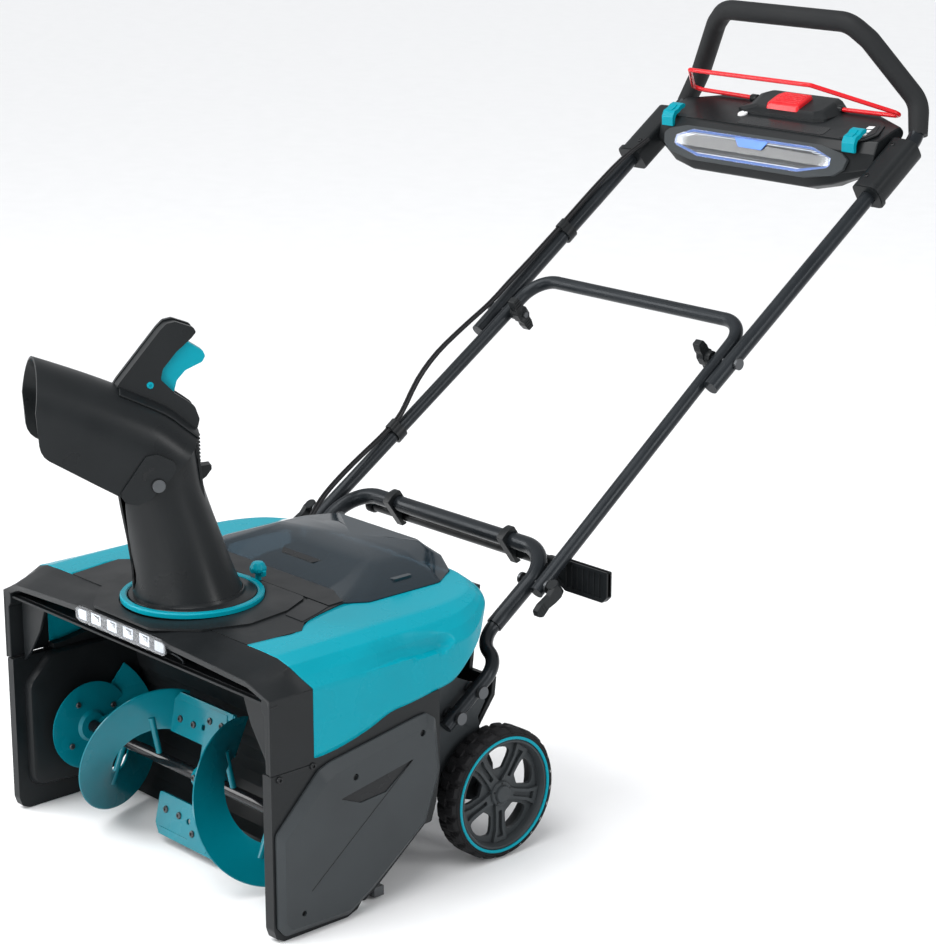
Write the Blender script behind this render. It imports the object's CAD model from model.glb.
"""The snow blower's looks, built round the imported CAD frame."""
import math

import bmesh
import bpy
from mathutils import Matrix, Vector
from mathutils.geometry import tessellate_polygon


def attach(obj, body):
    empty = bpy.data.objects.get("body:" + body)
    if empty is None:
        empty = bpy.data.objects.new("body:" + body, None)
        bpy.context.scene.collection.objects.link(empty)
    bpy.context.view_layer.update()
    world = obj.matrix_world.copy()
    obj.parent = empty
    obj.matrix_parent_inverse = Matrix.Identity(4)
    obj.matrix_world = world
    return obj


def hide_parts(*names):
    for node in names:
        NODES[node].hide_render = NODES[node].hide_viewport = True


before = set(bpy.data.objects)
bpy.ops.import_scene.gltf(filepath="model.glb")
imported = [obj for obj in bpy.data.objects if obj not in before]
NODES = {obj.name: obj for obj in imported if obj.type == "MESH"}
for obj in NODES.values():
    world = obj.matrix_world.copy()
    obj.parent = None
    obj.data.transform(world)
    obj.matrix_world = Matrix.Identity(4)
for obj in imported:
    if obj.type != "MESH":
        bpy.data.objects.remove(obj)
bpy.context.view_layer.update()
MM = 0.001
MID_Y = 576.0


def W(p):
    """Millimetres behind the front edge -> metres in the row frame."""
    return Vector((p[0] * MM, (p[1] - MID_Y) * MM, p[2] * MM))


# ---------------------------------------------------------------- camera, lights, floor
# The camera's place in mm and its two turns in degrees, then its focal length and picture height in one unit.
CAMERA_AT = (2549.43, -1752.66, 1392.13)
CAMERA_ROUND, CAMERA_DOWN = 47.75, 15.84
FOCAL, HEIGHT, SENSOR = 2648.11, 944.0, 36.0

scene = bpy.context.scene
cam_data = bpy.data.cameras.new("camera")
cam = bpy.data.objects.new("camera", cam_data)
scene.collection.objects.link(cam)
cam.location = W(CAMERA_AT)
view = (Matrix.Rotation(math.radians(CAMERA_ROUND), 4, "Z")
        @ Matrix.Rotation(math.radians(90 - CAMERA_DOWN), 4, "X"))
cam.rotation_euler = view.to_euler()
cam_data.sensor_width = SENSOR
cam_data.lens = FOCAL * SENSOR / HEIGHT
cam_data.clip_start, cam_data.clip_end = 0.1, 60.0
scene.camera = cam
scene.view_settings.view_transform = "Standard"

world = bpy.data.worlds.new("world")
scene.world = world
world.use_nodes = True
world.node_tree.nodes["Background"].inputs["Color"].default_value = (0.97, 0.98, 1.0, 1)
world.node_tree.nodes["Background"].inputs["Strength"].default_value = 0.62


def area_light(name, at, look, size, power, colour=(1, 1, 1)):
    data = bpy.data.lights.new(name, "AREA")
    data.shape, data.size, data.size_y = "RECTANGLE", size[0], size[1]
    data.energy, data.color = power, colour
    o = bpy.data.objects.new(name, data)
    scene.collection.objects.link(o)
    o.location = at
    o.rotation_euler = (Vector(look) - Vector(at)).to_track_quat("-Z", "Y").to_euler()


area_light("key", (0.6, -1.6, 3.4), (0, 0, 0.3), (2.6, 2.0), 60)
area_light("side", (3.6, 1.0, 1.8), (0, 0, 0.4), (0.8, 2.6), 45)
area_light("left", (-2.6, -2.2, 1.6), (0, 0, 0.3), (1.0, 2.0), 45)
area_light("mouth", (0.5, -2.6, 0.7), (-0.05, -0.5, 0.15), (1.6, 0.8), 22)
sun = bpy.data.objects.new("sun", bpy.data.lights.new("sun", "SUN"))
sun.data.energy, sun.data.angle = 1.7, math.radians(40)
sun.rotation_euler = (math.radians(28), math.radians(-22), 0)
scene.collection.objects.link(sun)


# ---------------------------------------------------------------- materials
def material(name, colour, rough=0.45, metal=0.0, grain=600.0, bump=0.06, vary=0.12, coat=0.0,
             clear=0.0, ior=1.45, rough_vary=0.08, brushed=None, spec=0.22):
    m = bpy.data.materials.new(name)
    m.use_nodes = True
    nt = m.node_tree
    b = nt.nodes["Principled BSDF"]
    tex = nt.nodes.new("ShaderNodeTexCoord")
    source = tex.outputs["Object"]
    if brushed:
        stretch = nt.nodes.new("ShaderNodeMapping")
        stretch.inputs["Scale"].default_value = brushed
        nt.links.new(source, stretch.inputs["Vector"])
        source = stretch.outputs["Vector"]
    broad = nt.nodes.new("ShaderNodeTexNoise")
    broad.inputs["Scale"].default_value = 14.0
    broad.inputs["Detail"].default_value = 6.0
    fine = nt.nodes.new("ShaderNodeTexNoise")
    fine.inputs["Scale"].default_value = grain
    fine.inputs["Detail"].default_value = 2.0
    nt.links.new(tex.outputs["Object"], broad.inputs["Vector"])
    nt.links.new(source, fine.inputs["Vector"])
    ramp = nt.nodes.new("ShaderNodeValToRGB")
    ramp.color_ramp.elements[0].position, ramp.color_ramp.elements[1].position = 0.3, 0.7
    ramp.color_ramp.elements[0].color = [c * (1 - vary) for c in colour[:3]] + [1]
    ramp.color_ramp.elements[1].color = [min(1, c * (1 + vary)) for c in colour[:3]] + [1]
    nt.links.new(broad.outputs["Fac"], ramp.inputs["Fac"])
    nt.links.new(ramp.outputs["Color"], b.inputs["Base Color"])
    span = nt.nodes.new("ShaderNodeMapRange")
    span.inputs["From Min"].default_value, span.inputs["From Max"].default_value = 0.35, 0.65
    span.inputs["To Min"].default_value = max(0.02, rough - rough_vary)
    span.inputs["To Max"].default_value = min(1.0, rough + rough_vary)
    nt.links.new(broad.outputs["Fac"], span.inputs["Value"])
    nt.links.new(span.outputs["Result"], b.inputs["Roughness"])
    if bump:
        bn = nt.nodes.new("ShaderNodeBump")
        bn.inputs["Strength"].default_value = bump
        bn.inputs["Distance"].default_value = 0.0004
        nt.links.new(fine.outputs["Fac"], bn.inputs["Height"])
        nt.links.new(bn.outputs["Normal"], b.inputs["Normal"])
    b.inputs["Metallic"].default_value = metal
    b.inputs["IOR"].default_value = ior
    b.inputs["Coat Weight"].default_value = coat
    b.inputs["Coat Roughness"].default_value = 0.12
    b.inputs["Specular IOR Level"].default_value = spec
    b.inputs["Transmission Weight"].default_value = clear
    return m


BLACK = material("moulded_black", (0.009, 0.0105, 0.0115), 0.36, bump=0.10)
BLACK_GLOSS = material("gloss_black", (0.011, 0.012, 0.013), 0.24, bump=0.03)
GREY = material("moulded_grey", (0.034, 0.039, 0.042), 0.47, bump=0.14)
CHUTE = material("chute_black", (0.009, 0.0105, 0.0115), 0.34, bump=0.07)
TEAL = material("teal_plastic", (0.0, 0.245, 0.315), 0.27, bump=0.02, vary=0.03, spec=0.14, rough_vary=0.03)
TEAL_PAINT = material("teal_paint", (0.0, 0.155, 0.20), 0.22, bump=0.04, vary=0.08, coat=0.45, grain=300)
TUBE = material("tube_paint", (0.015, 0.018, 0.021), 0.28, metal=0.25, bump=0.05, grain=900)
STEEL = material("plated_steel", (0.62, 0.63, 0.65), 0.28, metal=1.0, bump=0.05, grain=700)
STEEL_DARK = material("dark_steel", (0.09, 0.095, 0.1), 0.38, metal=0.8, bump=0.06)
SHAFT = material("black_shaft", (0.008, 0.008, 0.009), 0.2, metal=0.2, bump=0.03, coat=0.3)
RED = material("red_paint", (0.60, 0.008, 0.014), 0.28, bump=0.03, coat=0.3)
RUBBER = material("tyre_rubber", (0.010, 0.010, 0.011), 0.62, bump=0.25, grain=380)
FOAM = material("foam_rubber", (0.013, 0.014, 0.015), 0.62, bump=0.35, grain=1500)
WHITE = material("white_plastic", (0.8, 0.81, 0.82), 0.3, bump=0.03)
SILVER = material("reflector", (0.85, 0.87, 0.9), 0.12, metal=1.0, bump=0.0)
LAMP = material("lamp_reflector", (0.82, 0.84, 0.88), 0.3, bump=0.05)
LAMP.node_tree.nodes["Principled BSDF"].inputs["Emission Color"].default_value = (0.9, 0.95, 1.0, 1)
LAMP.node_tree.nodes["Principled BSDF"].inputs["Emission Strength"].default_value = 0.45
BLUE = material("blue_tint", (0.10, 0.22, 0.62), 0.2, bump=0.0)
CLEAR = material("clear_plastic", (0.93, 0.96, 1.0), 0.06, clear=0.95, bump=0.0, vary=0.01, rough_vary=0.02)
SMOKE = material("smoked_plastic", (0.03, 0.055, 0.075), 0.07, clear=0.72, bump=0.0, vary=0.03,
                 rough_vary=0.03)

PALE = material("pale_floor", (0.86, 0.865, 0.87), 0.75, bump=0.02, vary=0.01, grain=200)


# ---------------------------------------------------------------- mesh helpers
def make(name, verts, faces, body, mat, slot, bevel=0.0, seg=3, solid=0.0, out=None, sharp=32):
    """A mesh piece that rides on a body. verts are in mm behind the front edge."""
    me = bpy.data.meshes.new(name)
    me.from_pydata([W(v) for v in verts], [], faces)
    bm = bmesh.new()
    bm.from_mesh(me)
    bmesh.ops.remove_doubles(bm, verts=bm.verts, dist=2e-6)
    bmesh.ops.dissolve_degenerate(bm, edges=bm.edges, dist=1e-6)
    bmesh.ops.recalc_face_normals(bm, faces=bm.faces)
    if out is not None:
        ref = W(out)
        s = sum((f.calc_center_median() - ref).dot(f.normal) * f.calc_area() for f in bm.faces)
        if s < 0:
            bmesh.ops.reverse_faces(bm, faces=bm.faces)
    bm.to_mesh(me)
    bm.free()
    me.shade_smooth()
    o = bpy.data.objects.new(name, me)
    scene.collection.objects.link(o)
    me.materials.append(mat)
    if solid:
        md = o.modifiers.new("wall", "SOLIDIFY")
        md.thickness, md.offset = solid * MM, -1
    if bevel:
        md = o.modifiers.new("edge", "BEVEL")
        md.width, md.segments, md.limit_method = bevel * MM, seg, "ANGLE"
        md.angle_limit = math.radians(30)
        md.use_clamp_overlap = True
        wn = o.modifiers.new("shade", "WEIGHTED_NORMAL")
        wn.keep_sharp = True
    else:
        me.set_sharp_from_angle(angle=math.radians(sharp))
    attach(o, body)
    return o


def cad_look(mat, *names, bevel=0.8):
    """Keeps CAD nodes, with a finished material and softened edges."""
    for n in names:
        o = NODES[n]
        o.data.materials.clear()
        o.data.materials.append(mat)
        weld = o.modifiers.new("weld", "WELD")
        weld.merge_threshold = 2e-6
        if bevel:
            md = o.modifiers.new("edge", "BEVEL")
            md.width, md.segments, md.limit_method = bevel * MM, 2, "ANGLE"
            md.angle_limit = math.radians(38)
            md.use_clamp_overlap = True
        wn = o.modifiers.new("shade", "WEIGHTED_NORMAL")
        wn.keep_sharp = True


def grid_faces(nr, nc, wrap_r=False, wrap_c=False):
    f = []
    for i in range(nr if wrap_r else nr - 1):
        for j in range(nc if wrap_c else nc - 1):
            a, b = i * nc + j, i * nc + (j + 1) % nc
            c, d = ((i + 1) % nr) * nc + (j + 1) % nc, ((i + 1) % nr) * nc + j
            f.append((a, b, c, d))
    return f


def loft(name, rings, body, mat, slot, closed=True, caps=True, **kw):
    nr, nc = len(rings), len(rings[0])
    faces = grid_faces(nr, nc, wrap_c=closed)
    if caps and closed:
        faces += [tuple(range(nc)), tuple(range((nr - 1) * nc, nr * nc))]
    return make(name, [p for r in rings for p in r], faces, body, mat, slot, **kw)


def catmull(pts, n):
    """n points per span, through every point given."""
    out = []
    for i in range(len(pts) - 1):
        a, b, c, d = pts[max(i - 1, 0)], pts[i], pts[i + 1], pts[min(i + 2, len(pts) - 1)]
        for k in range(n):
            t = k / n
            out.append([0.5 * (2 * q + (r - p) * t + (2 * p - 5 * q + 4 * r - s) * t * t
                               + (3 * q - p - 3 * r + s) * t ** 3)
                        for p, q, r, s in zip(a, b, c, d)])
    out.append(list(pts[-1]))
    return out


def fillet(pts, radius, n=8):
    """Rounds the corners of an open path of 3D points. radius is a number or one per corner."""
    pts = [Vector(p) for p in pts]
    out = [pts[0]]
    for i in range(1, len(pts) - 1):
        r = radius[i - 1] if isinstance(radius, (list, tuple)) else radius
        a, b, c = pts[i - 1], pts[i], pts[i + 1]
        u, v = (a - b).normalized(), (c - b).normalized()
        ang = u.angle(v)
        if r <= 0 or ang > math.pi - 0.01:
            out.append(b)
            continue
        t = min(r / math.tan(ang / 2), (a - b).length * 0.48, (c - b).length * 0.48)
        p, q = b + u * t, b + v * t
        for k in range(n + 1):
            w = k / n
            out.append(p * (1 - w) ** 2 + b * 2 * w * (1 - w) + q * w * w)
    out.append(pts[-1])
    return out


def fillet2(loop, radius, n=6, even=False):
    """Rounds the corners of a closed 2D outline. even gives every corner the same number of points."""
    out = []
    m = len(loop)
    for i in range(m):
        a, b, c = Vector(loop[i - 1]), Vector(loop[i]), Vector(loop[(i + 1) % m])
        r = radius[i] if isinstance(radius, (list, tuple)) else radius
        u, v = (a - b).normalized(), (c - b).normalized()
        ang = u.angle(v)
        if not even and (r <= 0 or ang > math.pi - 0.02):
            out.append(tuple(b))
            continue
        t = min(r / math.tan(ang / 2), (a - b).length * 0.48, (c - b).length * 0.48)
        if even:
            t = max(t, 0.6)
        p, q = b + u * t, b + v * t
        for k in range(n + 1):
            s = k / n
            out.append(tuple(p * (1 - s) ** 2 + b * 2 * s * (1 - s) + q * s * s))
    return out


def frames(path):
    """Parallel-transport frames along a path."""
    path = [Vector(p) for p in path]
    tans = []
    for i in range(len(path)):
        t = path[min(i + 1, len(path) - 1)] - path[max(i - 1, 0)]
        tans.append(t.normalized())
    ref = Vector((0, 0, 1)) if abs(tans[0].z) < 0.9 else Vector((1, 0, 0))
    side = tans[0].cross(ref).normalized()
    res = []
    for i, t in enumerate(tans):
        side = (side - t * side.dot(t)).normalized()
        res.append((path[i], side, t.cross(side)))
    return res


def tube(name, path, r, body, mat, slot, n=20, **kw):
    """A round bar along a path; r is a number or one per point."""
    fr = frames(path)
    rings = []
    for i, (p, s, u) in enumerate(fr):
        q = r[i] if isinstance(r, (list, tuple)) else r
        rings.append([p + (s * math.cos(a) + u * math.sin(a)) * q
                      for a in [2 * math.pi * k / n for k in range(n)]])
    return loft(name, rings, body, mat, slot, **kw)


def plane(kind, origin=(0, 0, 0)):
    """2D + height -> 3D for outlines: 'x' outline (y, z) raised along X, and so on."""
    o = Vector(origin)
    if kind == "x":
        return lambda a, b, h: o + Vector((h, a, b))
    if kind == "y":
        return lambda a, b, h: o + Vector((a, h, b))
    if kind == "z":
        return lambda a, b, h: o + Vector((a, b, h))
    mat = kind                                    # a 4x4 matrix: local x, y, z
    return lambda a, b, h: mat @ Vector((a, b, h))


def slab(name, loops, place, lo, hi, body, mat, slot, **kw):
    """Outline with holes, solid between two heights."""
    flat = [[Vector((p[0], p[1], 0)) for p in lp] for lp in loops]
    pts = [p for lp in flat for p in lp]
    tris = tessellate_polygon(flat)
    n = len(pts)
    verts = [place(p.x, p.y, lo) for p in pts] + [place(p.x, p.y, hi) for p in pts]
    faces = [tuple(t) for t in tris] + [tuple(i + n for i in t[::-1]) for t in tris]
    start = 0
    for lp in flat:
        m = len(lp)
        for i in range(m):
            a, b = start + i, start + (i + 1) % m
            faces.append((a, b, b + n, a + n))
        start += m
    return make(name, verts, faces, body, mat, slot, **kw)


def disc(c, r, n=32, a0=0.0):
    return [(c[0] + r * math.cos(a0 + 2 * math.pi * k / n), c[1] + r * math.sin(a0 + 2 * math.pi * k / n))
            for k in range(n)]


def lathe(name, profile, place, body, mat, slot, n=40, **kw):
    """Profile (radius, height) turned about the local height axis."""
    rings = [[place(r * math.cos(a), r * math.sin(a), h) for a in
              [2 * math.pi * k / n for k in range(n)]] for r, h in profile]
    return loft(name, rings, body, mat, slot, **kw)


def mirrored(fn):
    """Calls fn(side, +1 or -1) for both sides."""
    for m, tag in ((1, "right"), (-1, "left")):
        fn(m, tag)


def screw(name, at, axis, r, body, mat=None, slot="steel", height=2.6):
    """A domed screw head with a recess."""
    z = Vector(axis).normalized()
    x = z.orthogonal().normalized()
    y = z.cross(x)
    place = Matrix.Translation(Vector(at)) @ Matrix((x, y, z)).transposed().to_4x4()
    prof = [(r, 0), (r, height * 0.35), (r * 0.86, height * 0.8), (r * 0.55, height),
            (r * 0.42, height), (r * 0.36, height * 0.45), (0.01, height * 0.45)]
    return lathe(name, prof, lambda a, b, h: place @ Vector((a, b, h)), body, mat or STEEL_DARK, slot,
                 n=18, caps=False, sharp=40)


# ---------------------------------------------------------------- CAD pieces that stay
cad_look(BLACK, "auger_housing", "rear_housing", "battery_tray", "lower_cable_clip", "upper_cable_clip",
         "tool_clips")
cad_look(GREY, "controller_box", "auger_pulley", "handle_brackets")
cad_look(STEEL_DARK, "scraper_bar", "motor", "frame_bolts", "fold_bolts", "pivot_screws")
cad_look(STEEL, "motor_rotor", "shaft_bearings", "axle")
cad_look(SHAFT, "auger_shaft")
cad_look(TUBE, "lower_tubes", "lower_frame", "middle_frame", bevel=0.5)
cad_look(RUBBER, "drive_belt", bevel=0.5)
cad_look(RUBBER, "control_cables", bevel=0)

# ---------------------------------------------------------------- hood and side covers
DECK_LOW, DECK_RISE = 338.0, 5.0 / 220.0


def deck_z(y):
    return DECK_LOW + (y - 20) * DECK_RISE


def mir(pts, m):
    return [(p[0] * m, p[1], p[2]) for p in pts]


# rows run from the front of the teal cover to its rear corner; columns from the seam to the lower edge
COVER_ROWS = [
    [(183, 44, 340), (236, 44, 339), (261, 45.5, 333), (271, 54, 320), (280, 65, 306), (280, 65, 262),
     (280, 65, 219)],
    [(187, 82, 340.5), (236, 82, 340), (260, 82, 333), (270.5, 82, 320.5), (280, 82, 306), (280, 82, 262),
     (280, 82, 219.5)],
    [(190, 112, 341), (236, 112, 340.5), (259, 112, 333), (270.5, 112, 320.5), (280, 112, 306),
     (280, 112, 265), (280, 112, 224)],
    [(168, 150, 341.5), (236, 150, 341), (259, 150, 333), (270.5, 150, 320.5), (280, 150, 306),
     (280, 150, 270), (280, 150, 234)],
    [(157, 183, 342), (236, 183, 341.5), (259, 183, 333), (270.5, 183, 320.5), (280, 183, 306),
     (280, 183, 276), (280, 183, 246)],
    [(150, 215, 342.5), (236, 216, 342), (259, 216, 333), (270.5, 216, 320.5), (280, 216, 306),
     (280, 216, 278), (280, 216, 250)],
    [(150, 250, 343), (236, 250, 342.3), (259, 250, 333.5), (270, 250, 321), (279.5, 250, 306),
     (279.5, 250, 281), (279.5, 250, 255)],
    [(150, 288, 343), (235, 288, 342.5), (257, 288, 334), (268, 288, 322), (277, 288, 307), (277, 288, 284),
     (277, 288, 261)],
    [(150, 318, 343), (232, 318, 342.7), (252, 318, 335), (263, 319, 324), (271, 320, 309),
     (271.5, 320, 295), (272, 319, 281)],
    [(150, 342, 343), (226, 342, 342.8), (243, 343, 336.5), (252, 344, 327), (259, 345, 315),
     (260, 345, 307), (261, 345, 298)],
    [(150, 364, 343), (217, 362, 342.9), (231, 364, 338.5), (239, 365, 332), (244, 366, 325),
     (245, 366, 321), (245.5, 366, 317)],
    [(148, 386, 343), (203, 380, 343), (214, 382, 340), (221, 384, 336.5), (225, 385, 333),
     (226, 385.5, 331), (226.5, 386, 329)],
    [(140, 404, 343), (176, 397, 343), (184, 399, 341.2), (190, 401, 338.5), (194, 402, 336),
     (195, 402.5, 334.5), (195.5, 403, 333)],
    [(118, 412, 343), (143, 409, 343), (149, 410, 341.6), (154, 411, 339.5), (157, 411.5, 337.5),
     (158, 412, 336.5), (158.5, 412, 335)],
]


def ramp01(v, a, b):
    t = max(0.0, min(1.0, (v - a) / (b - a)))
    return t * t * (3 - 2 * t)


def table_at(v, pts):
    if v <= pts[0][0]:
        return pts[0][1]
    for (a, p), (b, q) in zip(pts, pts[1:]):
        if v <= b:
            return p + (q - p) * (v - a) / (b - a)
    return pts[-1][1]


SCOOP_LOW = [(97, 303), (206, 306.5), (270, 301), (284, 303), (294, 312)]
SCOOP_HIGH = [(97, 307), (150, 330), (183, 337), (220, 336), (260, 330), (287, 322), (294, 313)]


def scooped(p):
    """The swept recess along the cover's shoulder."""
    x, y, z = p
    if x < 236 or y < 97 or y > 294.5:
        return p
    lo, hi = table_at(y, SCOOP_LOW), table_at(y, SCOOP_HIGH)
    if z <= lo or z >= hi:
        return p
    t = (z - lo) / max(hi - lo, 0.1)
    depth = 11.0 * ramp01(y, 110, 250) * (1 - ramp01(y, 272, 294))
    depth *= (1 - ramp01(t, 0.25, 1.0)) * ramp01(z - lo, 0.0, 2.6)
    return (x - depth, y, z - depth * 0.25)


def cover(m, tag):
    cols = list(zip(*COVER_ROWS))
    fine_cols = [catmull(list(c), 14) for c in cols]
    steps = [10, 10, 12, 16, 6, 6]
    rows = []
    for i in range(len(fine_cols[0])):
        row = []
        for j in range(len(cols) - 1):
            a, b = fine_cols[j][i], fine_cols[j + 1][i]
            row += [tuple(a[k] + (b[k] - a[k]) * s / steps[j] for k in range(3)) for s in range(steps[j])]
        row.append(tuple(fine_cols[-1][i]))
        rows.append([scooped(p) for p in row])
    rows = [mir(r, m) for r in rows]
    o = loft("side_cover_" + tag, rows, "chassis", TEAL, "teal_plastic", closed=False, caps=False,
             solid=3.2, out=(150 * m, 200, 250), sharp=48)
    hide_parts("side_cover_" + tag)


mirrored(cover)

# black hood: the visor across the front and its side skirts
VISOR_FRONT = [(0, -12, 334), (48, -12, 334), (95, -12, 333), (100, -11.6, 332), (138, -9, 329),
               (183, -7.3, 326), (212, -6.2, 324), (240, -5, 322), (250, -4, 318.5), (266, -1.5, 311),
               (280, 0, 305)]
VISOR_MID = [(0, 14, 338), (48, 14, 338), (96, 14, 337.8), (112, 14, 337), (150, 15, 335), (186, 16, 333),
             (216, 18, 331.5), (246, 20, 328.5), (258, 22, 323), (270, 26, 314.5), (280, 30, 305.5)]
VISOR_BACK = [(0, 44.5, 339), (48, 44.5, 339), (96, 44.5, 339), (118, 44.5, 339), (152, 44.5, 339),
              (183, 44.2, 339.6), (212, 44.2, 339.4), (240, 44.2, 338.4), (261, 45.2, 332.6),
              (271, 53.6, 319.8), (280, 64.6, 305.8)]


def both_ends(half):
    return mir(half[::-1], -1)[:-1] + list(half)


def spread(a, b, n):
    return [[tuple(p[k] + (q[k] - p[k]) * i / n for k in range(3)) for p, q in zip(a, b)]
            for i in range(n + 1)]


lip = [(x, y + 3, z - 9) for x, y, z in VISOR_FRONT]
lip[-1] = (280, 0, 296)
under = [(x, y + 16, z - 11) for x, y, z in VISOR_FRONT]
under[-1] = (280, 12, 296)
visor_rows = [both_ends(r) for r in [under, lip, VISOR_FRONT]] + \
    [both_ends(r) for r in spread(VISOR_FRONT, VISOR_MID, 3)[1:]] + \
    [both_ends(r) for r in spread(VISOR_MID, VISOR_BACK, 3)[1:]]
hood = loft("hood_visor", visor_rows, "chassis", BLACK, "black_plastic", closed=False, caps=False,
            solid=3.0, out=(0, 60, 250), bevel=1.1)
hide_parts("top_hood")

DECK_HALF = [(183, 44.2), (190.5, 120.5), (170.5, 141), (160, 172), (150, 214), (148, 240)]
deck_loop = [(0, 44.2)] + DECK_HALF + [(-x, y) for x, y in DECK_HALF[::-1]]
deck_loop = [p for p in deck_loop if p != (0, 44.2)]


def on_deck(a, b, h):
    return Vector((a, b, deck_z(b) + 1.4 + h))


slab("hood_deck", [deck_loop, disc((0, 99.5), 72, 56)], on_deck, -4, 0, "chassis", BLACK,
     "black_plastic", bevel=0.9)
# raised centre of the deck, round the chute ring, and the seam steps behind it
boss = [(-60, -9), (60, -9), (108, 34), (132, 88), (126, 150), (104, 196), (-104, 196), (-126, 150),
        (-132, 88), (-108, 34)]
slab("hood_boss", [fillet2(boss, 14), disc((0, 99.5), 91.5, 56)], on_deck, -1, 2.2, "chassis", BLACK,
     "black_plastic", bevel=1.6)
slab("hood_rear_step", [[(-147, 198), (147, 198), (147, 238), (95, 239), (-95, 239), (-147, 238)]],
     on_deck, -1, 1.6, "chassis", BLACK, "black_plastic", bevel=1.0)
for m in (1, -1):
    slab("hood_seam_%d" % (m > 0), [[(m * 134, 140), (m * 168, 140), (m * 158, 172), (m * 148, 197),
                                    (m * 108, 197), (m * 128, 150)]],
         on_deck, -1, 1.0, "chassis", BLACK, "black_plastic", bevel=0.8)
slab("chute_ring_seat", [disc((0, 99.5), 81, 56), disc((0, 99.5), 71, 56)], plane("z"), 338, 343.6,
     "chassis", BLACK, "black_plastic", bevel=0.6)


def skirt(m, tag):
    side = plane("x")
    slab("hood_skirt_" + tag, [[(0, 212.5), (64.6, 212.5), (64.6, 305.5), (30, 305.2), (0, 304.6)]],
         lambda a, b, h: side(a, b, h * m), 276.4, 280, "chassis", BLACK, "black_plastic", bevel=0.8)
    slab("hood_flange_" + tag, [[(276.8, 213), (276.8, 303.5), (264, 309), (264, 290), (269, 284),
                                 (269, 213)]],
         lambda a, b, h: Vector((a * m, h, b)), 0.4, 22, "chassis", BLACK, "black_plastic", bevel=1.2)
    for y, z in ((12, 206), (62, 210)):
        screw("skirt_screw_%s_%d" % (tag, y), (280 * m, y, z), (m, 0, 0), 4.6, "chassis",
              mat=BLACK_GLOSS, slot="black_plastic")
    # curved inner gusset between the visor and the auger housing
    slab("hood_gusset_" + tag, [[(262, 208), (262, 292), (240, 300), (205, 300), (222, 258), (246, 224)]],
         lambda a, b, h: Vector((a * m, h, b)), 16, 20, "chassis", BLACK, "black_plastic", bevel=1.0)


mirrored(skirt)
ceiling = [(-266, 3), (266, 3), (266, 62), (64, 62), (54, 44), (30, 35), (-30, 35), (-54, 44), (-64, 62),
           (-266, 62)]
slab("hood_ceiling", [ceiling], plane("z"), 296.5, 299.5, "chassis", BLACK, "black_plastic", bevel=0.5)
# lip that closes the chute throat behind the light bar
rows = []
for s in range(0, 25):
    a = math.pi * s / 24
    rows.append([(96 * math.cos(a), 10 + 12 * math.sin(a), 302),
                 (96 * math.cos(a), 16 + 26 * math.sin(a), 296),
                 (92 * math.cos(a), 26 + 30 * math.sin(a), 291)])
loft("throat_lip", rows, "chassis", GREY, "grey_plastic", closed=False, caps=False, solid=2.5,
     out=(0, 60, 320), bevel=0.6)

# ---------------------------------------------------------------- light bar
bar = fillet2([(-94, 317), (-88, 314), (88, 314), (94, 317), (94, 329), (86, 334.2), (-86, 334.2),
               (-94, 329)], 2)
front_y = plane("y")
o = slab("light_housing", [bar], front_y, -9.2, 6, "chassis", BLACK_GLOSS, "black_plastic", bevel=0.8)
for i, x in enumerate((-51, -17, 17, 51)):
    cell = [(x - 10, 317.5), (x + 10, 317.5), (x + 10, 331.5), (x - 10, 331.5)]
    back = [(x - 4, 321.5), (x + 4, 321.5), (x + 4, 327.5), (x - 4, 327.5)]
    rings = [[(p[0], -9.4, p[1]) for p in cell], [(p[0], -11.1, p[1]) for p in cell],
             [(p[0] + (q[0] - p[0]) * 0.25, -11.1, p[1] + (q[1] - p[1]) * 0.25) for p, q in zip(cell, back)],
             [(p[0], -9.6, p[1]) for p in back]]
    loft("led_cup_%d" % i, rings, "chassis", SILVER, "steel", caps=False, bevel=0.3)
    slab("led_chip_%d" % i, [fillet2([(x - 3, 322), (x + 3, 322), (x + 3, 327), (x - 3, 327)], 1)], front_y,
         -10.4, -9.5, "chassis", WHITE, "white_plastic", bevel=0.3)
for m in (1, -1):
    slab("led_end_%d" % (m > 0), [fillet2([(m * 72, 317), (m * 88, 317), (m * 90, 327), (m * 84, 332),
                                           (m * 72, 332)], 1)],
         front_y, -10.8, -9.0, "chassis", WHITE if m > 0 else SILVER, "white_plastic", bevel=0.4)
o = slab("light_lens", [bar], front_y, -12.0, -11.3, "chassis", CLEAR, "clear_lens", bevel=0.2)
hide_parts("led_bar")

# ---------------------------------------------------------------- side plates and belt cover
PLATE = [(0, 212), (0, 17), (4, 5.5), (14, 0.2), (112, 0.2), (128, 6), (139, 20.5), (152, 20.5), (237, 85.5),
         (248, 86), (256, 110), (262, 150), (262, 256), (215, 250), (183, 246), (151, 234), (112, 224),
         (82, 219.5), (64, 219), (64, 212)]
PLATE_R = [1, 14, 2, 10, 16, 6, 4, 6, 6, 4, 10, 20, 2, 10, 20, 20, 20, 4, 0.5, 0.5]
BELT = [(4, 20), (14, 7), (112, 5.2), (150, 27), (236, 91), (254, 138), (259, 154), (252, 222), (238, 232),
        (224, 231), (86, 209), (69, 203), (4, 139)]
BELT_IN = [(12, 27), (20, 16), (109, 14), (145, 35), (229, 96), (245, 140), (249, 155), (244, 208),
           (235, 216),
           (223, 215.5), (91, 194), (76, 187.5), (12, 131)]
SHAFT_AT, MOTOR_AT = (98, 104), (228, 200)


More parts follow.
